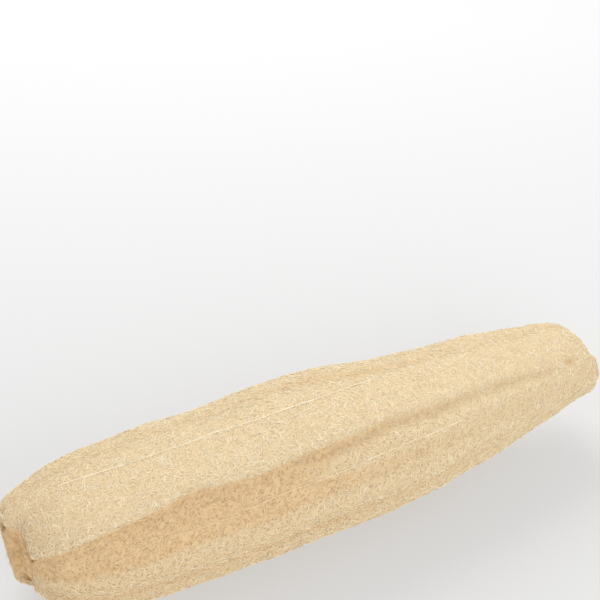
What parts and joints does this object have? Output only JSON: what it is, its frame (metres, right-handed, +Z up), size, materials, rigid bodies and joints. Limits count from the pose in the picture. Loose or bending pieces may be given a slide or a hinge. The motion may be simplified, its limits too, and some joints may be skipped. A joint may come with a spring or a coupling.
{
  "type": "natural loofah sponge",
  "caption": "Whole dried loofah lying on its side: a long, lobed body of raised fibre net, with three seed channels open at its blunt end.",
  "frame": {"origin": "middle of the footprint, on the surface that the sponge lies on", "axes": "+X along the sponge from its open blossom end to its closed stem end, +Z up; the picture sees the -Y side from above"},
  "size_m": [0.3825, 0.1019, 0.1014],
  "materials": {
    "dried_fibre": "matte dried plant fibre, pale straw"
  },
  "bodies": {
    "root": {"loofah_sponge": "dried_fibre"}
  },
  "joints": []
}
